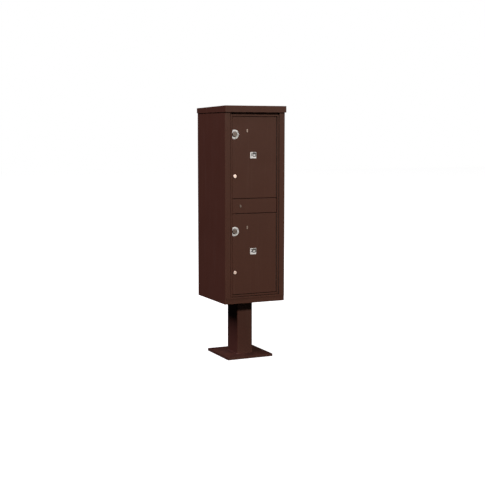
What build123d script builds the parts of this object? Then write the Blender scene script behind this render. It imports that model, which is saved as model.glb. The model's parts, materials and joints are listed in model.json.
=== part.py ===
from build123d import *
import os

os.makedirs("parts", exist_ok=True)

# Pedestal-mounted cluster mailbox with two parcel compartments, in millimetres.
# The front faces -Y, +X is to the right of a person facing it, +Z is up.
# The origin is on the ground, at the centre of the anchor-bolt pattern.

# ---- driving dimensions: cabinet envelope
body_width = 406.4
body_depth = 431.8
body_centre_y = -12.0
overall_height = 1581.15
cabinet_bottom = 365.5
cabinet_top = 1552.5
sheet = 2.0
tube_wall = 2.0
sheet_fold_radius = 1.5
tube_edge_radius = 0.7
panel_flange = 15.0
panel_rear_radius = 1.2
overcut = 1.0

# ---- driving dimensions: hood
hood_bottom = 1541.5
hood_side_overhang = 4.5
hood_front_overhang = 14.0
hood_rear_overhang = 3.5
hood_fall = 7.5
hood_corner_radius = 3.5
hood_top_radius = 2.6
support_half_length = 170.0
support_width = 30.0
support_stations = (-132.0, 118.0)
hood_screw_radius = 3.0
hood_screw_hole_radius = 3.3
hood_screw_x = 120.0
screw_head_radius = 6.0
screw_head_height = 3.0
screw_head_round = 1.2

# ---- driving dimensions: pedestal
base_width = 311.0
base_depth = 330.0
base_thickness = 15.9
base_corner_radius = 5.0
base_edge_chamfer = 1.0
anchor_spacing_x = 254.0
anchor_spacing_y = 273.0
anchor_hole_radius = 8.0
post_width = 108.0
post_depth = 150.0
post_wall = 4.8
post_corner_radius = 7.0
top_plate_width = 210.0
top_plate_depth = 240.0
top_plate_thickness = 6.35
stud_spacing_x = 170.0
stud_spacing_y = 200.0
stud_radius = 6.0
stud_hole_radius = 6.75
bolt_head_across_flats = 18.0
bolt_head_height = 7.5
bolt_end = 4.0
nut_height = 10.0
nut_flange_radius = 13.0
nut_flange_height = 2.5

# ---- driving dimensions: bottom pan, floor and shelf
pan_height = 31.0
pan_setback = 3.0
floor_flange = 15.0
floor_flange_setback = 10.0
shelf_top = 969.5
shelf_front_setback = 34.0
shelf_flange = 15.0

# ---- driving dimensions: fixed face frame
stile_width = 36.0
frame_depth = 18.0
stile_nose_radius = 1.6
sill_gap = 3.5
header_setback = 12.0

# ---- driving dimensions: carrier door (the large door that holds both parcel doors)
carrier_bottom = 411.5
carrier_top = 1528.0
carrier_gap = 2.5
carrier_axis_x = 163.0
carrier_left = -166.2
carrier_stile_width = 11.0
rail_depth = 17.0
stop_thickness = 3.0
stop_left = -149.0
stop_right = 141.6
stop_reach = 8.5
mid_rail_bottom = 925.5
mid_rail_top = 1014.0
mid_rail_hinge_gap = 0.4

# ---- driving dimensions: parcel doors
door_height = 496.5
door_axis_x = 147.6
door_left = -154.7
door_gap = 3.5
door_thickness = 16.0
door_edge_radius = 1.6

# ---- driving dimensions: continuous hinges
hinge_setback = 2.6
hinge_edge = 3.2
leaf_thickness = 1.4
leaf_reach = 13.0
leaf_relief = 3.4
knuckle_radius = 2.6
knuckle_bore = 1.25
hinge_pin_radius = 1.2
hinge_pin_end = 0.5
knuckle_gap = 0.4
door_knuckles = 13
carrier_knuckles = 19

# ---- driving dimensions: locks, measured down from the top edge of a parcel door
key_lock_x = -139.2
key_lock_drop = 106.4
service_lock_x = -138.0
service_lock_drop = 360.1
escutcheon_x = -54.7
escutcheon_drop = 84.2
number_label_x = -13.5
number_label_drop = 233.7
number_label_width = 41.0
number_label_height = 38.0
ring_label_radius = 28.5
ring_label_bore = 15.2
ring_label_margin = 1.4
label_thickness = 0.3
label_corner_radius = 1.5
lock_barrel_radius = 9.5
lock_barrel_rear = 17.7
lock_hole_radius = 9.6
key_bezel_radius = 14.0
service_bezel_radius = 11.0
lock_bezel_height = 4.5
lock_bezel_round = 1.2
plug_radius = 6.5
plug_bore = 6.56
plug_recess = 0.4
keyway_width = 1.6
keyway_length = 8.0
keyway_depth = 5.0
retainer_radius = 8.0
retainer_gap = 0.3
cam_plane = 21.0
cam_thickness = 2.2
cam_reach = 19.0
cam_tip_radius = 6.0
cam_hub_radius = 7.5
tail_square = 5.0
tail_head_radius = 4.0
tail_head_height = 1.0
lock_nut_radius = 13.0
lock_nut_height = 4.0
oval_width = 9.5
oval_height = 20.5
oval_thickness = 2.4
oval_slot_width = 2.2
oval_slot_height = 9.5
oval_slot_depth = 1.6
oval_edge_radius = 0.9

# ---- driving dimensions: carrier lock, behind the middle rail
carrier_lock_x = -99.6
carrier_lock_z = 970.0
carrier_oval_width = 11.6
carrier_oval_height = 16.0
carrier_plug_radius = 4.4
carrier_plug_bore = 4.48
carrier_keyway_width = 1.3
carrier_keyway_length = 6.4
carrier_keyway_floor = 1.0
crank_radius = 12.7
crank_pin_radius = 2.0
crank_slot_width = 5.0
crank_slot_clearance = 0.6
crank_hub_wall = 1.6
crank_arm_width = 7.0
crank_front = 18.0
crank_thickness = 2.4
bolt_front = 20.8
bolt_thickness = 5.0
bolt_height = 12.0
bolt_tip_x = -164.0
bolt_tail_reach = 16.0
bolt_ear_left = 9.0
bolt_ear_right = 7.0
bolt_ear_wall = 3.5
bolt_tip_chamfer = 1.5
bolt_window_gap = 0.5
case_wall = 1.5
case_left = -140.0
case_right = -62.6
case_bottom = 946.5
case_top = 993.5
case_rear = 28.6
strike_left = -193.0
strike_right = -170.0
strike_wall = 2.0
strike_side_gap = 1.0
strike_rear_gap = 0.6
strike_foot = 12.0

# ---- derived positions
side_x = body_width / 2
front_y = body_centre_y - body_depth / 2
back_y = body_centre_y + body_depth / 2
inner_x = side_x - sheet
inner_back_y = back_y - sheet
post_top = cabinet_bottom - top_plate_thickness
pan_top = cabinet_bottom + pan_height
pan_front_y = front_y + pan_setback
pan_inner_x = inner_x - sheet
frame_rear_y = front_y + frame_depth
stile_inner_x = side_x - stile_width
right_stile_inner_x = carrier_axis_x + hinge_edge
carrier_right = carrier_axis_x - hinge_edge
carrier_web_left = carrier_left + carrier_stile_width
carrier_web_right = door_axis_x + hinge_edge
stop_front_y = front_y + rail_depth
stop_rear_y = stop_front_y + stop_thickness
header_bottom = carrier_top + carrier_gap
sill_top = carrier_bottom - sill_gap
upper_door_bottom = mid_rail_top + door_gap
lower_door_bottom = mid_rail_bottom - door_gap - door_height
hinge_axis_y = front_y + hinge_setback
door_right = door_axis_x - hinge_edge
door_rear_y = front_y + door_thickness
hood_screw_places = [(x, y + sheet) for x in (-hood_screw_x, hood_screw_x) for y in support_stations]


def front_plane(y):
    """Sketch plane at a given Y whose normal points out of the front of the cabinet."""
    return Plane.XZ.offset(-y)


def keep(piece, name):
    """Label a finished piece and write it as a STEP file of the same name."""
    piece.part.label = name
    export_step(piece.part, f"parts/{name}.step")


def span_box(x, y, z, mode=Mode.ADD):
    """Box between two limits on each axis, inside the part block that is open."""
    centre = [(low + high) / 2 for low, high in (x, y, z)]
    size = [high - low for low, high in (x, y, z)]
    with Locations(tuple(centre)):
        Box(*size, mode=mode)


# ======================================================================
# Pedestal
# ======================================================================

with BuildPart() as base_plate:
    with BuildSketch():
        RectangleRounded(base_width, base_depth, base_corner_radius)
        with GridLocations(anchor_spacing_x, anchor_spacing_y, 2, 2):
            Circle(anchor_hole_radius, mode=Mode.SUBTRACT)
    extrude(amount=base_thickness)
    top_face = base_plate.faces().sort_by(Axis.Z)[-1]
    chamfer(top_face.outer_wire().edges(), base_edge_chamfer)
keep(base_plate, "pedestal_base_plate")

with BuildPart() as post:
    with BuildSketch(Plane.XY.offset(base_thickness)):
        RectangleRounded(post_width, post_depth, post_corner_radius)
        RectangleRounded(
            post_width - 2 * post_wall,
            post_depth - 2 * post_wall,
            post_corner_radius - post_wall,
            mode=Mode.SUBTRACT,
        )
    extrude(amount=post_top - base_thickness)
keep(post, "pedestal_post")

with BuildPart() as top_plate:
    with BuildSketch(Plane.XY.offset(post_top)):
        RectangleRounded(top_plate_width, top_plate_depth, base_corner_radius)
        with GridLocations(stud_spacing_x, stud_spacing_y, 2, 2):
            Circle(stud_hole_radius, mode=Mode.SUBTRACT)
    extrude(amount=top_plate_thickness)
keep(top_plate, "pedestal_top_plate")

# Hexagon bolts stand up through the top plate and the bottom pan.
with BuildPart() as cabinet_bolts:
    with BuildSketch(Plane.XY.offset(post_top - bolt_head_height)):
        with GridLocations(stud_spacing_x, stud_spacing_y, 2, 2):
            RegularPolygon(bolt_head_across_flats / 2, 6, major_radius=False)
    extrude(amount=bolt_head_height)
    with BuildSketch(Plane.XY.offset(post_top)):
        with GridLocations(stud_spacing_x, stud_spacing_y, 2, 2):
            Circle(stud_radius)
    extrude(amount=top_plate_thickness + sheet + nut_height + bolt_end)
keep(cabinet_bolts, "cabinet_bolts")

with BuildPart() as cabinet_nuts:
    nut_seat = cabinet_bottom + sheet
    with BuildSketch(Plane.XY.offset(nut_seat)):
        with GridLocations(stud_spacing_x, stud_spacing_y, 2, 2):
            Circle(nut_flange_radius)
            Circle(stud_radius, mode=Mode.SUBTRACT)
    extrude(amount=nut_flange_height)
    with BuildSketch(Plane.XY.offset(nut_seat + nut_flange_height)):
        with GridLocations(stud_spacing_x, stud_spacing_y, 2, 2):
            RegularPolygon(bolt_head_across_flats / 2, 6, major_radius=False)
            Circle(stud_radius, mode=Mode.SUBTRACT)
    extrude(amount=nut_height - nut_flange_height)
keep(cabinet_nuts, "cabinet_nuts")

# ======================================================================
# Cabinet shell
# ======================================================================

# Tray that closes the bottom of the cabinet; its front edge stands back from the stiles.
with BuildPart() as bottom_pan:
    span_box((-inner_x, inner_x), (pan_front_y, inner_back_y), (cabinet_bottom, pan_top))
    front_corners = bottom_pan.edges().filter_by(Axis.Z).group_by(Axis.Y)[0]
    lower_edge = bottom_pan.edges().filter_by(Axis.X).group_by(Axis.Z)[0].sort_by(Axis.Y)[0]
    fillet(front_corners + [lower_edge], sheet_fold_radius)
    span_box(
        (-pan_inner_x, pan_inner_x),
        (pan_front_y + sheet, inner_back_y - sheet),
        (cabinet_bottom + sheet, pan_top + overcut),
        mode=Mode.SUBTRACT,
    )
    with Locations((0, 0, cabinet_bottom + sheet)):
        with GridLocations(stud_spacing_x, stud_spacing_y, 2, 2):
            Hole(stud_hole_radius, depth=2 * sheet)
keep(bottom_pan, "bottom_pan")

# Plain side sheets lap the outside of the pan and of the stiles.
for name, outer, inner in (
    ("left_side_panel", -side_x, -inner_x),
    ("right_side_panel", side_x, inner_x),
):
    with BuildPart() as side_panel:
        span_box(
            (min(outer, inner), max(outer, inner)),
            (pan_front_y, back_y),
            (cabinet_bottom, cabinet_top),
        )
        rear_edge = side_panel.edges().filter_by(Axis.Z).group_by(Axis.Y)[-1]
        outer_rear_edge = rear_edge.sort_by(lambda edge: -abs(edge.center().X))[0]
        fillet(outer_rear_edge, panel_rear_radius)
    keep(side_panel, name)

flange_front_y = inner_back_y - panel_flange
with BuildPart() as back_panel:
    span_box((-inner_x, inner_x), (inner_back_y, back_y), (cabinet_bottom, cabinet_top))
    for low, high in ((-inner_x, -pan_inner_x), (pan_inner_x, inner_x)):
        span_box((low, high), (flange_front_y, back_y), (pan_top, cabinet_top - sheet))
keep(back_panel, "back_panel")

with BuildPart() as top_panel:
    span_box(
        (-pan_inner_x, pan_inner_x),
        (frame_rear_y, inner_back_y),
        (cabinet_top - sheet, cabinet_top),
    )
    for low, high in ((-pan_inner_x, -pan_inner_x + sheet), (pan_inner_x - sheet, pan_inner_x)):
        span_box(
            (low, high),
            (frame_rear_y, flange_front_y),
            (cabinet_top - sheet - panel_flange, cabinet_top),
        )
    with Locations(*[(x, y, cabinet_top) for x, y in hood_screw_places]):
        Hole(hood_screw_hole_radius, depth=2 * sheet)
keep(top_panel, "top_panel")

# Hood: a formed cap with a sloping top, skirts all round and a return lip under them.
hood_half_width = side_x + hood_side_overhang
hood_front_y = front_y - hood_front_overhang
hood_back_y = back_y + hood_rear_overhang
hood_rear_top = overall_height - hood_fall
with BuildPart() as hood:
    with BuildSketch(Plane.YZ.offset(-hood_half_width)):
        with BuildLine():
            Polyline(
                (hood_front_y, hood_bottom),
                (hood_back_y, hood_bottom),
                (hood_back_y, hood_rear_top),
                (hood_front_y, overall_height),
                close=True,
            )
        make_face()
    extrude(amount=2 * hood_half_width)
    fillet(hood.edges().filter_by(Axis.Z), hood_corner_radius)
    fillet(hood.faces().sort_by(Axis.Z)[-1].edges(), hood_top_radius)
    with BuildSketch(Plane.YZ.offset(-hood_half_width + sheet)):
        with BuildLine():
            Polyline(
                (hood_front_y + sheet, hood_bottom + sheet),
                (hood_back_y - sheet, hood_bottom + sheet),
                (hood_back_y - sheet, hood_rear_top - sheet),
                (hood_front_y + sheet, overall_height - sheet),
                close=True,
            )
        make_face()
    extrude(amount=2 * (hood_half_width - sheet), mode=Mode.SUBTRACT)
    span_box(
        (-side_x, side_x),
        (front_y, back_y),
        (hood_bottom - overcut, hood_bottom + sheet + overcut),
        mode=Mode.SUBTRACT,
    )
keep(hood, "hood")

# Two channels stand on the top panel and carry the sloping hood.
hood_slope = hood_fall / (hood_back_y - hood_front_y - 2 * sheet)


def hood_underside(y):
    """Height of the inside of the hood's top sheet at a distance along the cabinet."""
    return overall_height - sheet - hood_slope * (y - hood_front_y - sheet)


with BuildPart() as hood_supports:
    for station in support_stations:
        front = station - support_width / 2
        rear = station + support_width / 2
        with BuildSketch(Plane.YZ.offset(-support_half_length)):
            with BuildLine():
                Polyline(
                    (front, cabinet_top),
                    (rear, cabinet_top),
                    (rear, cabinet_top + sheet),
                    (front + sheet, cabinet_top + sheet),
                    (front + sheet, hood_underside(front + sheet) - sheet),
                    (rear, hood_underside(rear) - sheet),
                    (rear, hood_underside(rear)),
                    (front, hood_underside(front)),
                    close=True,
                )
            make_face()
        extrude(amount=2 * support_half_length)
    with Locations(*[(x, y, cabinet_top + sheet) for x, y in hood_screw_places]):
        Hole(hood_screw_hole_radius, depth=sheet + overcut)
keep(hood_supports, "hood_supports")

# Pan-head screws go up through the top panel into the channels.
with BuildPart() as hood_screws:
    with Locations(*[(x, y, cabinet_top + 2 * sheet) for x, y in hood_screw_places]):
        Cylinder(hood_screw_radius, 4 * sheet, align=(Align.CENTER, Align.CENTER, Align.MAX))
    with Locations(*[(x, y, cabinet_top - sheet) for x, y in hood_screw_places]):
        Cylinder(screw_head_radius, screw_head_height, align=(Align.CENTER, Align.CENTER, Align.MAX))
    fillet(hood_screws.faces().group_by(Axis.Z)[0].edges(), screw_head_round)
keep(hood_screws, "hood_screws")

# ======================================================================
# Fixed face frame and inner shelves
# ======================================================================


def frame_stile(side, inner_edge):
    """Hollow stile: its nose is flush with the outside of the side panel, its body laps inside."""
    with BuildPart() as stile:
        with BuildSketch(Plane.XY.offset(pan_top)):
            with BuildLine():
                Polyline(
                    (side * side_x, front_y),
                    (side * inner_edge, front_y),
                    (side * inner_edge, frame_rear_y),
                    (side * inner_x, frame_rear_y),
                    (side * inner_x, pan_front_y),
                    (side * side_x, pan_front_y),
                    close=True,
                )
            make_face()
        extrude(amount=cabinet_top - pan_top)
        front_edges = stile.edges().filter_by(Axis.Z).group_by(Axis.Y)[0]
        outer_edge = front_edges.sort_by(lambda edge: -abs(edge.center().X))[0]
        inner_front_edge = front_edges.sort_by(lambda edge: abs(edge.center().X))[0]
        fillet(outer_edge, stile_nose_radius)
        fillet(inner_front_edge, tube_edge_radius)
        hollow = sorted((side * (inner_x - tube_wall), side * (inner_edge + tube_wall)))
        span_box(
            tuple(hollow),
            (front_y + tube_wall, frame_rear_y - tube_wall),
            (pan_top - overcut, cabinet_top + overcut),
            mode=Mode.SUBTRACT,
        )
    return stile


keep(frame_stile(-1, stile_inner_x), "frame_left_stile")
keep(frame_stile(1, right_stile_inner_x), "frame_right_stile")

with BuildPart() as frame_header:
    header_x = (-stile_inner_x, right_stile_inner_x)
    header_y = (front_y + header_setback, frame_rear_y)
    span_box(header_x, header_y, (header_bottom, cabinet_top))
    span_box(
        (header_x[0] - overcut, header_x[1] + overcut),
        (header_y[0] + tube_wall, header_y[1] - tube_wall),
        (header_bottom + tube_wall, cabinet_top - tube_wall),
        mode=Mode.SUBTRACT,
    )
keep(frame_header, "frame_header")

# Sill between the stiles, standing on the front wall of the pan and flush with the doors.
with BuildPart() as frame_sill:
    span_box(header_x, (front_y, frame_rear_y), (pan_top, sill_top))
    fillet(frame_sill.edges().filter_by(Axis.X).group_by(Axis.Y)[0], tube_edge_radius)
    span_box(
        (header_x[0] - overcut, header_x[1] + overcut),
        (front_y + tube_wall, frame_rear_y - tube_wall),
        (pan_top + tube_wall, sill_top - tube_wall),
        mode=Mode.SUBTRACT,
    )
keep(frame_sill, "frame_sill")

floor_underside = pan_top - sheet

with BuildPart() as lower_floor:
    span_box(
        (-pan_inner_x, pan_inner_x),
        (pan_front_y + sheet, inner_back_y - sheet),
        (floor_underside, pan_top),
    )
    for low, high in ((-pan_inner_x, -pan_inner_x + sheet), (pan_inner_x - sheet, pan_inner_x)):
        span_box(
            (low, high),
            (frame_rear_y + floor_flange_setback, inner_back_y - sheet),
            (pan_top - floor_flange, pan_top),
        )
keep(lower_floor, "lower_compartment_floor")

with BuildPart() as shelf:
    shelf_front_y = front_y + shelf_front_setback
    flange_z = (shelf_top - shelf_flange, shelf_top)
    span_box((-inner_x, inner_x), (shelf_front_y, flange_front_y), (shelf_top - sheet, shelf_top))
    span_box((-inner_x, inner_x), (shelf_front_y, shelf_front_y + sheet), flange_z)
    for low, high in ((-inner_x, -pan_inner_x), (pan_inner_x, inner_x)):
        span_box((low, high), (shelf_front_y, flange_front_y), flange_z)
    upper_front_edge = shelf.edges().filter_by(Axis.X).group_by(Axis.Y)[0].sort_by(Axis.Z)[-1]
    fillet(upper_front_edge, sheet_fold_radius)
keep(shelf, "compartment_shelf")

# ======================================================================
# Carrier door
# ======================================================================


def carrier_stile(outer, web_inner, stop_inner):
    """Hollow upright of the carrier door with a stop flange behind the parcel doors."""
    web = tuple(sorted((outer, web_inner)))
    stop = tuple(sorted((outer, stop_inner)))
    height = (carrier_bottom, carrier_top)
    with BuildPart() as stile:
        span_box(web, (front_y, stop_front_y), height)
        front_edges = stile.edges().filter_by(Axis.Z).group_by(Axis.Y)[0]
        fillet(front_edges, tube_edge_radius)
        span_box(stop, (stop_front_y, stop_rear_y), height)
        span_box(
            (web[0] + tube_wall, web[1] - tube_wall),
            (front_y + tube_wall, stop_front_y - tube_wall),
            (carrier_bottom - overcut, carrier_top + overcut),
            mode=Mode.SUBTRACT,
        )
    return stile


keep(carrier_stile(carrier_left, carrier_web_left, stop_left), "carrier_left_stile")
keep(carrier_stile(carrier_right, carrier_web_right, stop_right), "carrier_right_stile")

# Top and bottom rails: a front face between the stiles, a stop flange behind the parcel door.
for name, outer, inner, reach in (
    ("carrier_top_rail", carrier_top, upper_door_bottom + door_height + door_gap, -1),
    ("carrier_bottom_rail", carrier_bottom, lower_door_bottom - door_gap, 1),
):
    face = tuple(sorted((outer, inner)))
    stop = tuple(sorted((outer, inner + reach * stop_reach)))
    with BuildPart() as rail:
        span_box((carrier_web_left, carrier_web_right), (front_y, stop_front_y), face)
        fillet(rail.edges().filter_by(Axis.X).group_by(Axis.Y)[0], tube_edge_radius)
        span_box((stop_left, stop_right), (stop_front_y, stop_rear_y), stop)
        span_box(
            (carrier_web_left - overcut, carrier_web_right + overcut),
            (front_y + tube_wall, stop_front_y - tube_wall),
            (face[0] + tube_wall, face[1] - tube_wall),
            mode=Mode.SUBTRACT,
        )
    keep(rail, name)

# Middle rail: a hat channel whose face is the fixed panel between the parcel doors.
mid_rail_left = door_left
mid_rail_right = door_axis_x - mid_rail_hinge_gap
with BuildPart() as mid_rail:
    span_box((mid_rail_left, mid_rail_right), (front_y, stop_front_y), (mid_rail_bottom, mid_rail_top))
    fillet(mid_rail.faces().sort_by(Axis.Y)[0].edges(), door_edge_radius)
    span_box(
        (mid_rail_left - overcut, mid_rail_right + overcut),
        (front_y + sheet, stop_front_y + overcut),
        (mid_rail_bottom + sheet, mid_rail_top - sheet),
        mode=Mode.SUBTRACT,
    )
    for low, high in (
        (mid_rail_bottom - stop_reach, mid_rail_bottom + sheet),
        (mid_rail_top - sheet, mid_rail_top + stop_reach),
    ):
        span_box((stop_left, stop_right), (stop_front_y, stop_rear_y), (low, high))
    with BuildSketch(front_plane(front_y + 2 * sheet)):
        with Locations((carrier_lock_x, carrier_lock_z)):
            Circle(carrier_plug_bore)
    extrude(amount=3 * sheet, mode=Mode.SUBTRACT)
keep(mid_rail, "mid_rail_panel")

# ======================================================================
# Continuous hinges
# ======================================================================


def hinge_leaf(axis_x, bottom, top, count, side, first):
    """Leaf of a continuous hinge; side is -1 for the moving leaf and +1 for the fixed one."""
    pitch = (top - bottom) / count
    inner_face = hinge_edge - leaf_thickness
    plate_x = tuple(sorted((axis_x + side * inner_face, axis_x + side * hinge_edge)))
    with BuildPart() as leaf:
        span_box(
            plate_x,
            (hinge_axis_y + leaf_relief, hinge_axis_y + leaf_reach),
            (bottom, top),
        )
        for index in range(first, count, 2):
            low = bottom + index * pitch + knuckle_gap / 2
            high = bottom + (index + 1) * pitch - knuckle_gap / 2
            span_box(plate_x, (hinge_axis_y, hinge_axis_y + leaf_relief), (low, high))
            with Locations((axis_x, hinge_axis_y, (low + high) / 2)):
                Cylinder(knuckle_radius, high - low)
        with Locations((axis_x, hinge_axis_y, (bottom + top) / 2)):
            Cylinder(knuckle_bore, top - bottom + 2 * overcut, mode=Mode.SUBTRACT)
    return leaf


def hinge_pin(axis_x, bottom, top):
    """Pin that runs the full length of a continuous hinge."""
    with BuildPart() as pin:
        with Locations((axis_x, hinge_axis_y, (bottom + top) / 2)):
            Cylinder(hinge_pin_radius, top - bottom + 2 * hinge_pin_end)
    return pin


carrier_hinge = (carrier_axis_x, carrier_bottom, carrier_top)
keep(hinge_leaf(*carrier_hinge, carrier_knuckles, -1, 1), "carrier_door_hinge_leaf")
keep(hinge_leaf(*carrier_hinge, carrier_knuckles, 1, 0), "carrier_frame_hinge_leaf")
keep(hinge_pin(*carrier_hinge), "carrier_hinge_pin")

# ======================================================================
# Carrier lock: plug with a crank, sliding bolt, case, escutcheon and strike
# ======================================================================

with BuildPart() as carrier_escutcheon:
    with BuildSketch(front_plane(front_y)):
        with Locations((carrier_lock_x, carrier_lock_z)):
            SlotOverall(carrier_oval_height, carrier_oval_width, rotation=90)
    extrude(amount=oval_thickness)
    fillet(carrier_escutcheon.faces().sort_by(Axis.Y)[0].edges(), oval_edge_radius)
    with BuildSketch(front_plane(front_y + overcut)):
        with Locations((carrier_lock_x, carrier_lock_z)):
            Circle(carrier_plug_bore)
    extrude(amount=oval_thickness + 2 * overcut, mode=Mode.SUBTRACT)
keep(carrier_escutcheon, "carrier_lock_escutcheon")

# At rest the crank pin stands 45 degrees to the right of vertical and the bolt is drawn back.
crank_offset = crank_radius / 2**0.5
with BuildPart() as carrier_plug:
    with BuildSketch(front_plane(front_y + crank_front)):
        with Locations((carrier_lock_x, carrier_lock_z)):
            Circle(carrier_plug_radius)
    extrude(amount=crank_front + oval_thickness - plug_recess)
    with BuildSketch(front_plane(front_y + crank_front + crank_thickness)):
        with Locations((carrier_lock_x, carrier_lock_z)):
            Circle(carrier_plug_radius + crank_hub_wall)
        with Locations((carrier_lock_x + crank_offset / 2, carrier_lock_z + crank_offset / 2)):
            Rectangle(crank_radius, crank_arm_width, rotation=45)
        with Locations((carrier_lock_x + crank_offset, carrier_lock_z + crank_offset)):
            Circle(crank_arm_width / 2)
    extrude(amount=crank_thickness)
    with BuildSketch(front_plane(front_y + bolt_front + bolt_thickness)):
        with Locations((carrier_lock_x + crank_offset, carrier_lock_z + crank_offset)):
            Circle(crank_pin_radius)
    extrude(amount=bolt_thickness + bolt_front - crank_front - crank_thickness)
    with BuildSketch(front_plane(front_y + carrier_keyway_floor)):
        with Locations((carrier_lock_x, carrier_lock_z)):
            Rectangle(carrier_keyway_width, carrier_keyway_length)
    extrude(amount=carrier_keyway_floor + oval_thickness, mode=Mode.SUBTRACT)
keep(carrier_plug, "carrier_lock_plug")

bolt_y = (front_y + bolt_front, front_y + bolt_front + bolt_thickness)
bolt_z = (carrier_lock_z - bolt_height / 2, carrier_lock_z + bolt_height / 2)
bolt_tail_x = carrier_lock_x + bolt_tail_reach
slot_x = carrier_lock_x + crank_offset
slot_low = carrier_lock_z + crank_offset - crank_pin_radius - crank_slot_clearance
slot_high = carrier_lock_z + crank_radius + crank_pin_radius + crank_slot_clearance
with BuildPart() as carrier_bolt:
    span_box((bolt_tip_x, bolt_tail_x), bolt_y, bolt_z)
    span_box(
        (slot_x - bolt_ear_left, slot_x + bolt_ear_right),
        bolt_y,
        (bolt_z[0], slot_high + bolt_ear_wall),
    )
    span_box(
        (slot_x - crank_slot_width / 2, slot_x + crank_slot_width / 2),
        (bolt_y[0] - overcut, bolt_y[1] + overcut),
        (slot_low, slot_high),
        mode=Mode.SUBTRACT,
    )
    tip_edges = carrier_bolt.edges().filter_by(Axis.Y).group_by(Axis.X)[0]
    chamfer(tip_edges, bolt_tip_chamfer)
keep(carrier_bolt, "carrier_lock_bolt")

case_y = (front_y + sheet, front_y + case_rear)
with BuildPart() as carrier_case:
    span_box((case_left, case_right), case_y, (case_bottom, case_top))
    span_box(
        (case_left + case_wall, case_right - case_wall),
        (case_y[0] + case_wall, case_y[1] - case_wall),
        (case_bottom + case_wall, case_top - case_wall),
        mode=Mode.SUBTRACT,
    )
    span_box(
        (case_left - overcut, case_left + case_wall + overcut),
        (bolt_y[0] - bolt_window_gap, bolt_y[1] + bolt_window_gap),
        (bolt_z[0] - bolt_window_gap, bolt_z[1] + bolt_window_gap),
        mode=Mode.SUBTRACT,
    )
    with BuildSketch(front_plane(case_y[0] + case_wall + overcut)):
        with Locations((carrier_lock_x, carrier_lock_z)):
            Circle(carrier_plug_bore)
    extrude(amount=case_wall + 2 * overcut, mode=Mode.SUBTRACT)
keep(carrier_case, "carrier_lock_case")

# Keeper behind the left stile: the bolt slides into the space between its two legs.
strike_x = (strike_left, strike_right)
strike_rear_y = bolt_y[1] + strike_rear_gap + strike_wall
with BuildPart() as strike:
    for side, bolt_edge in ((-1, bolt_z[0]), (1, bolt_z[1])):
        leg_inner = bolt_edge + side * strike_side_gap
        leg_outer = leg_inner + side * strike_wall
        foot_end = leg_outer + side * strike_foot
        leg_z = tuple(sorted((leg_inner, leg_outer)))
        foot_z = tuple(sorted((leg_inner, foot_end)))
        rear_z = tuple(sorted((carrier_lock_z, leg_outer)))
        span_box(strike_x, (frame_rear_y, strike_rear_y), leg_z)
        span_box(strike_x, (frame_rear_y, frame_rear_y + strike_wall), foot_z)
        span_box(strike_x, (strike_rear_y - strike_wall, strike_rear_y), rear_z)
keep(strike, "carrier_strike")

# ======================================================================
# Parcel doors, their labels, escutcheons and locks
# ======================================================================

lock_places = ((key_lock_x, key_lock_drop), (service_lock_x, service_lock_drop))


def door_panel(bottom):
    """Formed door sheet with returns on all four edges and cut-outs for its locks."""
    top = bottom + door_height
    with BuildPart() as panel:
        span_box((door_left, door_right), (front_y, door_rear_y), (bottom, top))
        fillet(panel.faces().sort_by(Axis.Y)[0].edges(), door_edge_radius)
        span_box(
            (door_left + sheet, door_right - sheet),
            (front_y + sheet, door_rear_y + overcut),
            (bottom + sheet, top - sheet),
            mode=Mode.SUBTRACT,
        )
        with BuildSketch(front_plane(front_y + sheet + overcut)):
            with Locations(*[(x, top - drop) for x, drop in lock_places]):
                Circle(lock_hole_radius)
        extrude(amount=sheet + 2 * overcut, mode=Mode.SUBTRACT)
    return panel


def ring_label(z):
    """Round instruction label around the key lock, trimmed flat at the door's left edge."""
    with BuildPart() as label:
        with BuildSketch(front_plane(front_y)):
            with Locations((key_lock_x, z)):
                Circle(ring_label_radius)
                Circle(ring_label_bore, mode=Mode.SUBTRACT)
            with Locations((door_left + ring_label_margin, z)):
                Rectangle(
                    2 * ring_label_radius,
                    2 * ring_label_radius,
                    align=(Align.MAX, Align.CENTER),
                    mode=Mode.SUBTRACT,
                )
        extrude(amount=label_thickness)
    return label


def number_label(z):
    """Nearly square compartment-number label."""
    with BuildPart() as label:
        with BuildSketch(front_plane(front_y)):
            with Locations((number_label_x, z)):
                RectangleRounded(number_label_width, number_label_height, label_corner_radius)
        extrude(amount=label_thickness)
    return label


def release_escutcheon(z):
    """Small upright oval plate with a narrow key slot sunk into its face."""
    with BuildPart() as plate:
        with BuildSketch(front_plane(front_y)):
            with Locations((escutcheon_x, z)):
                SlotOverall(oval_height, oval_width, rotation=90)
        extrude(amount=oval_thickness)
        fillet(plate.faces().sort_by(Axis.Y)[0].edges(), oval_edge_radius)
        with BuildSketch(front_plane(front_y - oval_thickness + oval_slot_depth)):
            with Locations((escutcheon_x, z)):
                SlotOverall(oval_slot_height, oval_slot_width, rotation=90)
        extrude(amount=oval_slot_depth + overcut, mode=Mode.SUBTRACT)
    return plate


def lock_body(x, z, bezel_radius):
    """Stationary barrel of a cam lock, with its round front bezel."""
    with BuildPart() as barrel:
        with BuildSketch(front_plane(front_y)):
            with Locations((x, z)):
                Circle(bezel_radius)
        extrude(amount=lock_bezel_height)
        fillet(barrel.faces().sort_by(Axis.Y)[0].edges(), lock_bezel_round)
        with BuildSketch(front_plane(front_y + lock_barrel_rear)):
            with Locations((x, z)):
                Circle(lock_barrel_radius)
        extrude(amount=lock_barrel_rear)
        with BuildSketch(front_plane(front_y + lock_barrel_rear + overcut)):
            with Locations((x, z)):
                Circle(plug_bore)
        extrude(amount=lock_barrel_rear + lock_bezel_height + 2 * overcut, mode=Mode.SUBTRACT)
    return barrel


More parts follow.
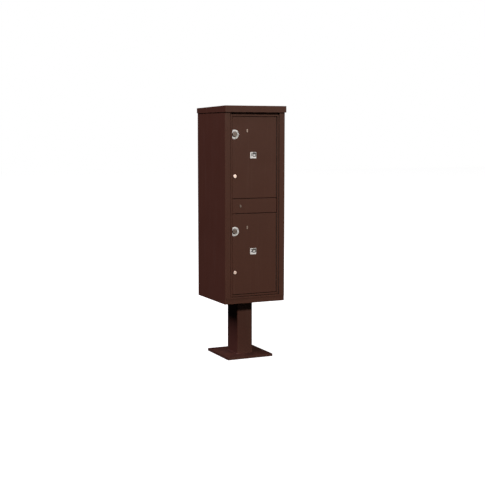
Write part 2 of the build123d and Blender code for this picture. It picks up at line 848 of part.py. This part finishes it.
def lock_plug(x, z, keyway_angle):
    """Turning core of a cam lock: plug, retaining shoulder, square tail and riveted end."""
    shoulder_y = front_y + lock_barrel_rear + retainer_gap
    cam_front_y = front_y + cam_plane
    cam_rear_y = cam_front_y + cam_thickness
    plug_front = lock_bezel_height - plug_recess
    with BuildPart() as plug:
        with BuildSketch(front_plane(shoulder_y)):
            with Locations((x, z)):
                Circle(plug_radius)
        extrude(amount=lock_barrel_rear + retainer_gap + plug_front)
        with BuildSketch(front_plane(cam_front_y)):
            with Locations((x, z)):
                Circle(retainer_radius)
        extrude(amount=cam_front_y - shoulder_y)
        with BuildSketch(front_plane(cam_rear_y)):
            with Locations((x, z)):
                Rectangle(tail_square, tail_square)
        extrude(amount=cam_thickness)
        with BuildSketch(front_plane(cam_rear_y + tail_head_height)):
            with Locations((x, z)):
                Circle(tail_head_radius)
        extrude(amount=tail_head_height)
        with BuildSketch(front_plane(front_y - plug_front + keyway_depth)):
            with Locations((x, z)):
                Rectangle(keyway_width, keyway_length, rotation=keyway_angle)
        extrude(amount=keyway_depth + overcut, mode=Mode.SUBTRACT)
    return plug


def lock_cam(x, z):
    """Flat cam that hangs down when unlocked and reaches behind the stop flange when turned."""
    with BuildPart() as cam:
        with BuildSketch(front_plane(front_y + cam_plane + cam_thickness)):
            with Locations((x, z)):
                Circle(cam_hub_radius)
                Rectangle(2 * cam_tip_radius, cam_reach, align=(Align.CENTER, Align.MAX))
            with Locations((x, z - cam_reach)):
                Circle(cam_tip_radius)
            with Locations((x, z)):
                Rectangle(tail_square, tail_square, mode=Mode.SUBTRACT)
        extrude(amount=cam_thickness)
    return cam


def lock_nuts(places):
    """Round nuts that clamp both lock barrels behind the door sheet."""
    with BuildPart() as nuts:
        for x, z in places:
            with BuildSketch(front_plane(front_y + sheet + lock_nut_height)):
                with Locations((x, z)):
                    Circle(lock_nut_radius)
                    Circle(lock_hole_radius, mode=Mode.SUBTRACT)
            extrude(amount=lock_nut_height)
    return nuts


for level, bottom in (("upper", upper_door_bottom), ("lower", lower_door_bottom)):
    top = bottom + door_height
    key_z = top - key_lock_drop
    service_z = top - service_lock_drop
    hinge = (door_axis_x, bottom, top)
    keep(door_panel(bottom), f"{level}_door_panel")
    keep(hinge_leaf(*hinge, door_knuckles, -1, 1), f"{level}_door_hinge_leaf")
    keep(hinge_leaf(*hinge, door_knuckles, 1, 0), f"{level}_frame_hinge_leaf")
    keep(hinge_pin(*hinge), f"{level}_hinge_pin")
    keep(ring_label(key_z), f"{level}_ring_label")
    keep(number_label(top - number_label_drop), f"{level}_number_label")
    keep(release_escutcheon(top - escutcheon_drop), f"{level}_release_escutcheon")
    keep(lock_nuts(((key_lock_x, key_z), (service_lock_x, service_z))), f"{level}_lock_nuts")
    for use, x, z, bezel_radius, keyway_angle in (
        ("key", key_lock_x, key_z, key_bezel_radius, 0),
        ("service", service_lock_x, service_z, service_bezel_radius, 90),
    ):
        keep(lock_body(x, z, bezel_radius), f"{level}_{use}_lock_body")
        keep(lock_plug(x, z, keyway_angle), f"{level}_{use}_lock_plug")
        keep(lock_cam(x, z), f"{level}_{use}_lock_cam")
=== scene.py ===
import json
import math

import bmesh
import bpy
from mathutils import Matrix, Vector

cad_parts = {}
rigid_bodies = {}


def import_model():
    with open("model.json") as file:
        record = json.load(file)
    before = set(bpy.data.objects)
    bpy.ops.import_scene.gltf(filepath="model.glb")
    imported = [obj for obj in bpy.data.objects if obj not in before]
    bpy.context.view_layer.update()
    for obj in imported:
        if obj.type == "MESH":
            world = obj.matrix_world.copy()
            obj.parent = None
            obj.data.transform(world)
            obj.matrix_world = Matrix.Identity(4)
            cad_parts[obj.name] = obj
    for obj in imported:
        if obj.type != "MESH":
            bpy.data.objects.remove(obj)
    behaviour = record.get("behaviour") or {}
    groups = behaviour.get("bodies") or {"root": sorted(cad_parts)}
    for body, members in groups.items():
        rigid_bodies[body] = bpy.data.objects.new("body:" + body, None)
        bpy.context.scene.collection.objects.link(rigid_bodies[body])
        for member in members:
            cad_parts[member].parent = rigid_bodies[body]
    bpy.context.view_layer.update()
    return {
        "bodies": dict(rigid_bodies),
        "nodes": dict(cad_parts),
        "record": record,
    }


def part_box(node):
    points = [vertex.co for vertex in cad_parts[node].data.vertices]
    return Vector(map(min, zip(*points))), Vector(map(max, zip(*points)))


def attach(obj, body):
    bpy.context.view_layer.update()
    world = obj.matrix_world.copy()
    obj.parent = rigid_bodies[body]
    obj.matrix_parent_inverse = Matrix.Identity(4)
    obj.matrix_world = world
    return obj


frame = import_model()
nodes = frame["nodes"]
slot_of = {row["node"]: row["material_slot"] for row in frame["record"]["subparts"]}
MM = 0.001

# The bodies stay at rest here. A posed lock plug turns by nearly 90 degrees about Y, where Euler angles lose
# precision; quaternions keep it centred in its bore.
for body in frame["bodies"].values():
    body.rotation_mode = "QUATERNION"


# ---- materials -----------------------------------------------------------------------------------
class Finish:
    """A material made of nodes, with one short call for each kind of node that the finishes use."""

    def __init__(self, name, colour, roughness, metallic=0.0, specular=0.5):
        self.material = bpy.data.materials.new(name)
        self.material.use_nodes = True
        self.material.diffuse_color = (*colour, 1.0)
        self.tree = self.material.node_tree
        self.shader = self.tree.nodes["Principled BSDF"]
        self.shader.inputs["Base Color"].default_value = (*colour, 1.0)
        self.shader.inputs["Roughness"].default_value = roughness
        self.shader.inputs["Metallic"].default_value = metallic
        self.shader.inputs["Specular IOR Level"].default_value = specular
        self.place = self.node("ShaderNodeTexCoord").outputs["Object"]

    def node(self, kind, **settings):
        made = self.tree.nodes.new(kind)
        for key, value in settings.items():
            setattr(made, key, value)
        return made

    def feed(self, target, value):
        if isinstance(value, bpy.types.NodeSocket):
            self.tree.links.new(value, target)
        else:
            target.default_value = value

    def math(self, operation, first, second=0.0):
        made = self.node("ShaderNodeMath", operation=operation)
        self.feed(made.inputs[0], first)
        self.feed(made.inputs[1], second)
        return made.outputs[0]

    def stretched(self, factors, centre=(0.0, 0.0, 0.0)):
        shifted = self.node("ShaderNodeVectorMath", operation="SUBTRACT")
        self.feed(shifted.inputs[0], self.place)
        shifted.inputs[1].default_value = centre
        scaled = self.node("ShaderNodeVectorMath", operation="MULTIPLY")
        self.feed(scaled.inputs[0], shifted.outputs[0])
        scaled.inputs[1].default_value = factors
        return scaled.outputs[0]

    def noise(self, scale, detail=2.0, roughness=0.5, place=None):
        made = self.node("ShaderNodeTexNoise")
        self.feed(made.inputs["Vector"], place or self.place)
        made.inputs["Scale"].default_value = scale
        made.inputs["Detail"].default_value = detail
        made.inputs["Roughness"].default_value = roughness
        return made.outputs["Fac"]

    def cell_colours(self, scale):
        made = self.node("ShaderNodeTexVoronoi")
        self.feed(made.inputs["Vector"], self.place)
        made.inputs["Scale"].default_value = scale
        return made.outputs["Color"]

    def remap(self, value, low, high, to_low, to_high):
        made = self.node("ShaderNodeMapRange")
        self.feed(made.inputs["Value"], value)
        for key, number in (("From Min", low), ("From Max", high), ("To Min", to_low), ("To Max", to_high)):
            made.inputs[key].default_value = number
        return made.outputs["Result"]

    def blend(self, factor, first, second):
        made = self.node("ShaderNodeMix", data_type="RGBA")
        self.feed(made.inputs["Factor"], factor)
        for key, value in (("A", first), ("B", second)):
            target = [s for s in made.inputs if s.name == key and s.type == "RGBA"][0]
            self.feed(target, value if isinstance(value, bpy.types.NodeSocket) else (*value, 1.0))
        return [s for s in made.outputs if s.type == "RGBA"][0]

    def bump(self, height, distance, strength=1.0, under=None):
        made = self.node("ShaderNodeBump")
        made.inputs["Strength"].default_value = strength
        made.inputs["Distance"].default_value = distance
        self.feed(made.inputs["Height"], height)
        if under is not None:
            self.feed(made.inputs["Normal"], under)
        return made.outputs["Normal"]

    def axis(self, vector, name):
        made = self.node("ShaderNodeSeparateXYZ")
        self.feed(made.inputs[0], vector)
        return made.outputs[name]

    def set(self, name, value):
        self.feed(self.shader.inputs[name], value)

    def facing_up(self):
        return self.axis(self.node("ShaderNodeNewGeometry").outputs["Normal"], "Z")


def darker(colour, share):
    return tuple(channel * share for channel in colour)


BRONZE = (0.0735, 0.0262, 0.0165)
BRONZE_DUST = (0.090, 0.052, 0.038)
PEDESTAL_BRONZE = (0.0655, 0.0225, 0.0155)
# Painted shade: darker than the pedestal paint, laid on the pedestal's upward faces such as the base plate
# top.
PEDESTAL_PAINTED_SHADE = (0.022, 0.0095, 0.0075)
RAIN_STREAK = (0.120, 0.070, 0.052)
GROUND_SOIL = (0.052, 0.026, 0.019)
GROUND_SOIL_TOP = 0.14
HINGE = (0.060, 0.033, 0.025)
STAINLESS = (0.60, 0.58, 0.56)
ZINC = (0.58, 0.58, 0.56)
ZINC_CLOUD = (0.46, 0.46, 0.44)
NICKEL = (0.90, 0.76, 0.72)
DULL_NICKEL = (0.34, 0.27, 0.24)
WORN_NICKEL = darker(DULL_NICKEL, 0.55)
DARK_NICKEL = (0.16, 0.135, 0.125)
WHITE_FILM = (0.91, 0.93, 0.96)
FILM_DIRT = (0.35, 0.30, 0.26)
BLACK_INK = (0.020, 0.018, 0.018)
LATHE_PITCH = 0.32 * MM


def powder_coat(name, colour, top_dust_and_shade, ground_soil):
    """Baked powder coat: orange peel, fine grain, slow drifts of shade, faint rain streaks, and a colour on
    faces that look up: light dust on the cabinet, a painted shade on the pedestal.
    """
    coat = Finish(name, colour, roughness=0.52, specular=0.16)
    drift = coat.remap(coat.noise(3.2, detail=3.0), 0.3, 0.7, 0.0, 1.0)
    shade = coat.blend(drift, darker(colour, 0.95), darker(colour, 1.06))
    mottle = coat.remap(coat.noise(46.0, detail=4.0, roughness=0.6), 0.35, 0.65, 0.0, 0.35)
    shade = coat.blend(mottle, shade, darker(colour, 0.90))
    grain = coat.remap(coat.noise(1500.0, detail=1.0), 0.4, 0.7, 0.0, 0.3)
    shade = coat.blend(grain, shade, darker(colour, 1.28))
    streak = coat.noise(1.0, detail=3.0, place=coat.stretched((75.0, 75.0, 2.2)))
    streak = coat.remap(streak, 0.55, 0.75, 0.0, 0.16)
    shade = coat.blend(streak, shade, RAIN_STREAK)
    # Faces that look up take the top colour: light dust on the cabinet paint, and on the pedestal a painted
    # shade that darkens its base plate top.
    top_dust_and_shade_mask = coat.math("MULTIPLY", coat.remap(coat.facing_up(), 0.55, 1.0, 0.0, 1.0),
                     coat.remap(coat.noise(26.0, detail=5.0, roughness=0.65), 0.30, 0.70, 0.25, 0.75))
    shade = coat.blend(top_dust_and_shade_mask, shade, top_dust_and_shade)
    if ground_soil:
        height = coat.remap(coat.axis(coat.place, "Z"), 0.0, GROUND_SOIL_TOP, 1.0, 0.0)
        patch = coat.remap(coat.noise(19.0, detail=6.0, roughness=0.7), 0.46, 0.68, 0.0, 0.30)
        shade = coat.blend(coat.math("MULTIPLY", height, patch), shade, GROUND_SOIL)
    coat.set("Base Color", shade)
    rub = coat.remap(coat.noise(9.0, detail=4.0), 0.3, 0.7, 0.46, 0.58)
    coat.set("Roughness", coat.math("ADD", rub, coat.math("MULTIPLY", streak, 0.5)))
    peel = coat.bump(coat.noise(650.0, detail=2.0), 0.10 * MM, 0.45)
    sheet_wave = coat.bump(coat.noise(5.0, detail=1.0), 0.9 * MM, 0.30, under=peel)
    coat.set("Normal", sheet_wave)
    return coat.material


def brushed(name, colour, roughness, along, metallic=1.0, contrast=0.12):
    """Metal with fine lines that run along one direction, given as the stretch of the line pattern."""
    metal = Finish(name, colour, roughness, metallic=metallic)
    lines = metal.noise(1.0, detail=3.0, roughness=0.6, place=metal.stretched(along))
    stain = metal.noise(85.0, detail=4.0, roughness=0.6)
    shade = metal.blend(lines, darker(colour, 1.0 - contrast), darker(colour, 1.0 + contrast))
    shade = metal.blend(metal.remap(stain, 0.45, 0.75, 0.0, 0.35), shade, darker(colour, 0.72))
    metal.set("Base Color", shade)
    mixed = metal.math("ADD", lines, stain)
    metal.set("Roughness", metal.remap(mixed, 0.7, 1.3, roughness - 0.07, roughness + 0.09))
    metal.set("Normal", metal.bump(lines, 0.03 * MM, 0.5))
    return metal.material


def turned(name, colour, roughness, centre):
    """Plated metal with the fine rings that a lathe leaves round the lock's own axis."""
    metal = Finish(name, colour, roughness, metallic=1.0)
    spot = metal.stretched((1.0, 0.0, 1.0), centre=centre)
    distance = metal.node("ShaderNodeVectorMath", operation="LENGTH")
    metal.feed(distance.inputs[0], spot)
    rings = metal.node("ShaderNodeMath", operation="SINE")
    metal.feed(rings.inputs[0], metal.math("MULTIPLY", distance.outputs["Value"], 2 * math.pi / LATHE_PITCH))
    smear = metal.noise(210.0, detail=4.0, roughness=0.6)
    shade = metal.blend(metal.remap(smear, 0.4, 0.7, 0.0, 0.5), colour, darker(colour, 0.80))
    metal.set("Base Color", shade)
    metal.set("Roughness", metal.remap(smear, 0.3, 0.7, roughness - 0.05, roughness + 0.08))
    metal.set("Normal", metal.bump(rings.outputs[0], 0.006 * MM, 0.6))
    return metal.material


def zinc_plate(name, colour, roughness):
    """Bright zinc plating: small cloudy spangles and slight dulling."""
    metal = Finish(name, colour, roughness, metallic=1.0)
    spangle = metal.cell_colours(420.0)
    tone = metal.axis(spangle, "X")
    cloud = metal.noise(60.0, detail=5.0, roughness=0.65)
    shade = metal.blend(tone, darker(colour, 0.86), darker(colour, 1.10))
    shade = metal.blend(metal.remap(cloud, 0.5, 0.8, 0.0, 0.6), shade, ZINC_CLOUD)
    metal.set("Base Color", shade)
    metal.set("Roughness", metal.remap(cloud, 0.3, 0.7, roughness - 0.06, roughness + 0.14))
    metal.set("Normal", metal.bump(cloud, 0.08 * MM, 0.35))
    return metal.material


def label_film(name, colour):
    """Printed vinyl film: slight gloss, faint waves over the paint below it, specks of dirt."""
    film = Finish(name, colour, roughness=0.38, specular=0.45)
    cloud = film.noise(120.0, detail=3.0)
    shade = film.blend(film.remap(cloud, 0.4, 0.7, 0.0, 0.5), colour, darker(colour, 0.93))
    speck = film.remap(film.noise(1400.0, detail=2.0), 0.68, 0.76, 0.0, 0.35)
    shade = film.blend(speck, shade, FILM_DIRT)
    film.set("Base Color", shade)
    film.set("Roughness", film.remap(cloud, 0.3, 0.7, 0.32, 0.46))
    film.set("Normal", film.bump(film.noise(520.0, detail=1.0), 0.05 * MM, 0.3))
    return film.material


def print_ink(name, colour):
    """Screen-printed ink: slightly uneven cover."""
    ink = Finish(name, colour, roughness=0.5, specular=0.4)
    cover = ink.noise(900.0, detail=3.0, roughness=0.6)
    thin = tuple(channel + 0.03 for channel in colour)
    ink.set("Base Color", ink.blend(ink.remap(cover, 0.35, 0.7, 0.0, 0.5), colour, thin))
    ink.set("Roughness", ink.remap(cover, 0.3, 0.7, 0.42, 0.6))
    return ink.material


# Patterns of fine lines, as repeats per metre along X, Y and Z.
ALONG_X = (30.0, 1200.0, 1200.0)
ALONG_Z = (900.0, 900.0, 6.0)
ROUND_Z = (60.0, 60.0, 1500.0)
bronze = powder_coat("bronze_powder_coat", BRONZE, BRONZE_DUST, ground_soil=False)
# The pedestal's top colour is a painted shade, darker than its paint.
pedestal = powder_coat("pedestal_powder_coat", PEDESTAL_BRONZE, PEDESTAL_PAINTED_SHADE, ground_soil=True)
finishes = {
    "bronze_paint": bronze,
    "pedestal_paint": pedestal,
    "hinge_metal": brushed("anodised_hinge", HINGE, 0.45, ALONG_Z, metallic=0.5),
    "stainless": brushed("stainless_steel", STAINLESS, 0.30, ROUND_Z),
    "lock_nickel": brushed("satin_nickel", DULL_NICKEL, 0.42, ALONG_X),
    "zinc_steel": zinc_plate("zinc_plated_steel", ZINC, 0.36),
    "label_film": label_film("white_label_film", WHITE_FILM),
}
ink_black = print_ink("black_ink", BLACK_INK)


def wear(piece, material):
    piece.data.materials.clear()
    piece.data.materials.append(material)


for name, obj in nodes.items():
    wear(obj, finishes[slot_of[name]])

lock_pieces = {
    "carrier": ["carrier_lock_plug"],
    **{f"{level}_{use}": [f"{level}_{use}_lock_body", f"{level}_{use}_lock_plug"]
       for level in ("upper", "lower") for use in ("key", "service")},
}
for lock, members in lock_pieces.items():
    low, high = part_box(members[-1])
    tone = NICKEL if lock.endswith("service") else DARK_NICKEL
    lock_finish = turned(f"turned_nickel_{lock}", tone, 0.36, (low + high) / 2)
    for name in members:
        wear(nodes[name], lock_finish)
wear(nodes["carrier_lock_escutcheon"], brushed("worn_satin_nickel", WORN_NICKEL, 0.44, ALONG_X))


# ---- extra pieces --------------------------------------------------------------------------------
def new_piece(name, builder, body, material):
    """A piece from a filled bmesh, riding on a CAD body."""
    mesh = bpy.data.meshes.new(name)
    builder.to_mesh(mesh)
    builder.free()
    obj = bpy.data.objects.new(name, mesh)
    bpy.context.scene.collection.objects.link(obj)
    wear(obj, material)
    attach(obj, body)
    return obj


def slab(builder, outline, back, thickness):
    """A thin flat shape standing proud towards -Y: outline is (x, z) points, back its rear Y."""
    rear = [builder.verts.new((x, back, z)) for x, z in outline]
    front = [builder.verts.new((x, back - thickness, z)) for x, z in outline]
    builder.faces.new(front)
    builder.faces.new(list(reversed(rear)))
    for i in range(len(outline)):
        j = (i + 1) % len(outline)
        builder.faces.new((rear[i], rear[j], front[j], front[i]))


def bar(builder, start, end, width, back, thickness):
    """A straight printed line from start to end, both (x, z)."""
    a, b = Vector(start), Vector(end)
    side = (b - a).normalized().orthogonal() * width / 2
    slab(builder, [tuple(p) for p in (a + side, b + side, b - side, a - side)], back, thickness)


def around(centre, reach, degrees):
    """The (x, z) point at that reach from the centre, anticlockwise from level as seen from the front."""
    angle = math.radians(degrees)
    return centre[0] + reach * math.cos(angle), centre[1] + reach * math.sin(angle)


def arc_band(builder, centre, radius, width, start, end, back, thickness, steps=48):
    """A printed band along a circle, from start to end degrees."""
    inner, outer = [], []
    for i in range(steps + 1):
        degrees = start + (end - start) * i / steps
        inner.append(around(centre, radius - width / 2, degrees))
        outer.append(around(centre, radius + width / 2, degrees))
    for i in range(steps):
        slab(builder, [inner[i], outer[i], outer[i + 1], inner[i + 1]], back, thickness)


def numeral(builder, text, centre, height, back, thickness):
    """One printed digit from Blender's own font, placed by its middle."""
    curve = bpy.data.curves.new("digit", "FONT")
    curve.body = text
    curve.size = height
    curve.offset = STROKE_GAIN * height
    holder = bpy.data.objects.new("digit", curve)
    bpy.context.scene.collection.objects.link(holder)
    bpy.context.view_layer.update()
    flat = bpy.data.meshes.new_from_object(holder)
    bpy.data.objects.remove(holder)
    xs = [v.co.x for v in flat.vertices]
    ys = [v.co.y for v in flat.vertices]
    middle = ((min(xs) + max(xs)) / 2, (min(ys) + max(ys)) / 2)
    grow = height / (max(ys) - min(ys))
    for face in flat.polygons:
        points = [flat.vertices[i].co for i in face.vertices]
        outline = [(centre[0] + (p.x - middle[0]) * grow, centre[1] + (p.y - middle[1]) * grow)
                   for p in points]
        slab(builder, outline, back, thickness)
    bpy.data.meshes.remove(flat)


INK = 0.06 * MM
STROKE_GAIN = 0.035
# The number label's layout, in shares of its width from its lower left corner.
DIGIT_ACROSS, DIGIT_UP, DIGIT_HEIGHT = 0.25, 0.56, 0.50
BOX_LEFT, BOX_RIGHT = 0.45, 0.91
BOX_FLOOR, BOX_LID, SHOULDER_RISE = 0.31, 0.81, 0.34
BOX_LINE = 0.125
# The ring label's print, in radii round the key lock and degrees from level.
BAND_RADIUS, BAND_WIDTH, BAND_REACH = 16.9 * MM, 2.6 * MM, 136
TICK_START, TICK_END, TICK_WIDTH = 19.0 * MM, 22.4 * MM, 1.6 * MM
TICK_REACH, TICK_STEP = 75, 15
ARROW_RADIUS, ARROW_WIDTH = 25.4 * MM, 1.4 * MM
ARROW_RUNS = ((-112, -60), (-44, 28))
HEAD_BASE, HEAD_TIP = 28, 40
HEAD_INNER, HEAD_OUTER = 22.6 * MM, 28.0 * MM


def number_print(level, digit):
    """The numeral and parcel-box pictogram on a number label."""
    low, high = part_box(f"{level}_number_label")
    face, side = low.y, high.x - low.x
    builder = bmesh.new()
    digit_centre = (low.x + DIGIT_ACROSS * side, low.z + DIGIT_UP * side)
    numeral(builder, digit, digit_centre, DIGIT_HEIGHT * side, face, INK)
    left, right = low.x + BOX_LEFT * side, low.x + BOX_RIGHT * side
    floor_z, lid_z = low.z + BOX_FLOOR * side, low.z + BOX_LID * side
    shoulder_z, middle_x = floor_z + SHOULDER_RISE * side, (left + right) / 2
    lines = (
        ((left, floor_z), (right, floor_z)),
        ((right, floor_z), (right, lid_z)),
        ((right, lid_z), (left, lid_z)),
        ((left, lid_z), (left, floor_z)),
        ((left, shoulder_z), (right, shoulder_z)),
        ((middle_x, shoulder_z), (middle_x, lid_z)),
    )
    for start, end in lines:
        bar(builder, start, end, BOX_LINE * side, face, INK)
    new_piece(f"{level}_number_print", builder, f"{level}_door", ink_black)


def ring_print(level):
    """The band, ticks and turning arrow on the round label behind a key lock."""
    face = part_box(f"{level}_ring_label")[0].y
    plug_low, plug_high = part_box(f"{level}_key_lock_plug")
    centre = ((plug_low.x + plug_high.x) / 2, (plug_low.z + plug_high.z) / 2)
    builder = bmesh.new()
    arc_band(builder, centre, BAND_RADIUS, BAND_WIDTH, -BAND_REACH, BAND_REACH, face, INK)
    for angle in range(-TICK_REACH, TICK_REACH + 1, TICK_STEP):
        start, end = around(centre, TICK_START, angle), around(centre, TICK_END, angle)
        bar(builder, start, end, TICK_WIDTH, face, INK)
    for start, end in ARROW_RUNS:
        arc_band(builder, centre, ARROW_RADIUS, ARROW_WIDTH, start, end, face, INK)
    corners = ((HEAD_INNER, HEAD_BASE), (HEAD_OUTER, HEAD_BASE), (ARROW_RADIUS, HEAD_TIP))
    slab(builder, [around(centre, reach, angle) for reach, angle in corners], face, INK)
    new_piece(f"{level}_ring_print", builder, f"{level}_door", ink_black)


for door_level, door_digit in (("upper", "1"), ("lower", "2")):
    number_print(door_level, door_digit)
    ring_print(door_level)


# The welds follow the post's rounded corners, with a ripple along the bead and a slightly hollow face.
WELD_CORNER = 7.0 * MM
CORNER_POINTS, CORNER_STEP = 7, 15
WELD_STEP = 1.1 * MM
RIPPLE, RIPPLE_PITCH = 0.09, 3.4 * MM
WANDER, WANDER_RATE = 0.05, 37.0
WELD_SIDES = 6
HOLLOWING = 0.16
TOE_SINK = 0.4 * MM
ROOT_SINK, ROOT_DROP = 0.8 * MM, 0.3 * MM
FOOT_WELD_LEG, HEAD_WELD_LEG = 5.0 * MM, 4.5 * MM


def tube_outline(high):
    """Dense (point, outward normal) pairs round a rectangular tube centred on the origin."""
    inset_x, inset_y = high.x - WELD_CORNER, high.y - WELD_CORNER
    path = []
    for cx, cy, start in ((inset_x, inset_y, 0), (-inset_x, inset_y, 90), (-inset_x, -inset_y, 180),
                          (inset_x, -inset_y, 270)):
        for i in range(CORNER_POINTS):
            angle = math.radians(start + CORNER_STEP * i)
            path.append((Vector((cx, cy)), Vector((math.cos(angle), math.sin(angle)))))
    dense = []
    for i, (centre, normal) in enumerate(path):
        next_centre, next_normal = path[(i + 1) % len(path)]
        here, there = centre + normal * WELD_CORNER, next_centre + next_normal * WELD_CORNER
        parts = max(1, round((there - here).length / WELD_STEP))
        for k in range(parts):
            share = k / parts
            dense.append((here.lerp(there, share), normal.lerp(next_normal, share).normalized()))
    return dense


def bead_section(point, normal, size, height, upward):
    """One cross-section of the bead, as 3-D points, closed by its buried root."""
    section = []
    for k in range(WELD_SIDES + 1):
        turn = math.pi / 2 * k / WELD_SIDES
        bulge = size * (1.0 - HOLLOWING * math.sin(2 * turn))
        out, up = bulge * math.cos(turn), bulge * math.sin(turn)
        place = point + normal * (out - TOE_SINK)
        section.append((place.x, place.y, height + upward * up))
    root = point - normal * ROOT_SINK
    section.append((root.x, root.y, height - upward * ROOT_DROP))
    return section


def weld_bead(name, node, height, upward, leg):
    """A rippled fillet weld round a rectangular tube, on the plate at that height; upward is +1 or -1."""
    dense = tube_outline(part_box(node)[1])
    builder = bmesh.new()
    rings, run = [], 0.0
    for i, (point, normal) in enumerate(dense):
        run += (point - dense[i - 1][0]).length if i else 0.0
        wave = math.sin(2 * math.pi * run / RIPPLE_PITCH)
        ripple = 1.0 + RIPPLE * wave + WANDER * math.sin(run * WANDER_RATE)
        section = bead_section(point, normal, leg * ripple, height, upward)
        rings.append([builder.verts.new(corner) for corner in section])
    count = len(rings[0])
    for i, ring in enumerate(rings):
        following = rings[(i + 1) % len(rings)]
        for k in range(count):
            j = (k + 1) % count
            builder.faces.new((ring[k], ring[j], following[j], following[k]))
    bmesh.ops.recalc_face_normals(builder, faces=builder.faces)
    piece = new_piece(name, builder, "cabinet", pedestal)
    piece.data.shade_smooth()


post_low, post_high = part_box("pedestal_post")
weld_bead("post_foot_weld", "pedestal_post", post_low.z, 1, FOOT_WELD_LEG)
weld_bead("post_head_weld", "pedestal_post", post_high.z, -1, HEAD_WELD_LEG)

# ---- stage, lights and camera --------------------------------------------------------------------
FLOOR_HALF_WIDTH = 30.0
FLOOR_GAP = 0.2 * MM
FLOOR_GREY, FLOOR_GLOW = (0.30, 0.30, 0.30), 0.97
WHITE = (1.0, 1.0, 1.0, 1.0)
SKY_SEEN, SKY_LIGHT = 1.0, 0.015


def pale_floor():
    """A plain pale floor just below the base plate. It lights itself and throws no light on the object."""
    builder = bmesh.new()
    bmesh.ops.create_grid(builder, x_segments=1, y_segments=1, size=FLOOR_HALF_WIDTH)
    mesh = bpy.data.meshes.new("floor")
    builder.to_mesh(mesh)
    builder.free()
    floor = bpy.data.objects.new("floor", mesh)
    floor.location.z = -FLOOR_GAP
    bpy.context.scene.collection.objects.link(floor)
    finish = Finish("pale_floor", FLOOR_GREY, roughness=0.9, specular=0.0)
    finish.set("Emission Color", WHITE)
    finish.set("Emission Strength", FLOOR_GLOW)
    wear(floor, finish.material)
    floor.visible_diffuse = False
    floor.visible_glossy = False


OBJECT_MIDDLE = (0.0, 0.0, 0.85)
LOWER_DOOR_FOOT = (0.0, 0.0, 0.45)


def area_light(name, azimuth, elevation, distance, size, power, colour, target=OBJECT_MIDDLE):
    """A soft box. Azimuth is measured from the front, positive to the right of a person facing it."""
    data = bpy.data.lights.new(name, "AREA")
    data.shape = "RECTANGLE"
    data.size, data.size_y = size
    data.energy = power
    data.color = colour
    light = bpy.data.objects.new(name, data)
    a, e = math.radians(azimuth), math.radians(elevation)
    towards = Vector((math.sin(a) * math.cos(e), -math.cos(a) * math.cos(e), math.sin(e)))
    light.location = Vector(target) + towards * distance
    light.rotation_mode = "QUATERNION"
    light.rotation_quaternion = (-towards).to_track_quat("-Z", "Y")
    light.visible_camera = False
    bpy.context.scene.collection.objects.link(light)
    return light


pale_floor()
area_light("key", 22, 23, 20.0, (1.4, 1.4), 2610.0, (1.0, 0.935, 0.83))
area_light("left_fill", -82, 50, 20.0, (9.1, 9.1), 4080.0, (0.97, 0.875, 1.0))
back = area_light("back_fill", 165, 35, 6.0, (2.0, 2.0), 190.0, (1.0, 0.97, 0.95))
back.visible_glossy = False
card = area_light("reflector_card", 26, 0, 4.2, (1.6, 2.4), 11.9, (1.0, 0.84, 0.70), LOWER_DOOR_FOOT)
card.visible_diffuse = False
# A weak front lamp for the compartments alone, so that they aren't black when the doors stand open.
inner = area_light("compartment_fill", 8, 6, 5.0, (1.5, 1.5), 170.0, (1.0, 0.97, 0.94))
inner.visible_glossy = False
lit = bpy.data.collections.new("compartment_surfaces")
for name in ("back_panel", "left_side_panel", "right_side_panel", "top_panel", "compartment_shelf",
             "lower_compartment_floor", "carrier_strike"):
    lit.objects.link(nodes[name])
inner.light_linking.receiver_collection = lit


def studio_world():
    """White where the camera looks past the floor, and a faint glow for everything else."""
    world = bpy.data.worlds.new("studio")
    bpy.context.scene.world = world
    world.use_nodes = True
    sky = world.node_tree.nodes["Background"]
    sky.inputs["Color"].default_value = WHITE
    ray = world.node_tree.nodes.new("ShaderNodeLightPath")
    strength = world.node_tree.nodes.new("ShaderNodeMapRange")
    world.node_tree.links.new(ray.outputs["Is Camera Ray"], strength.inputs["Value"])
    strength.inputs["To Min"].default_value = SKY_LIGHT
    strength.inputs["To Max"].default_value = SKY_SEEN
    world.node_tree.links.new(strength.outputs["Result"], sky.inputs["Strength"])


CAMERA_PLACE = (-2.69679, -5.86217, 1.40986)
CAMERA_AIM = (0.4180371, 0.9021828, -0.1063541)
LENS, SENSOR_WIDTH = 75.33, 36.0


def set_camera():
    """Level with the upper door, to the left of the front, looking slightly down."""
    data = bpy.data.cameras.new("camera")
    data.sensor_width = SENSOR_WIDTH
    data.lens = LENS
    camera = bpy.data.objects.new("camera", data)
    camera.location = CAMERA_PLACE
    camera.rotation_mode = "QUATERNION"
    camera.rotation_quaternion = Vector(CAMERA_AIM).to_track_quat("-Z", "Y")
    bpy.context.scene.collection.objects.link(camera)
    bpy.context.scene.camera = camera


studio_world()
set_camera()
bpy.context.scene.view_settings.view_transform = "Standard"
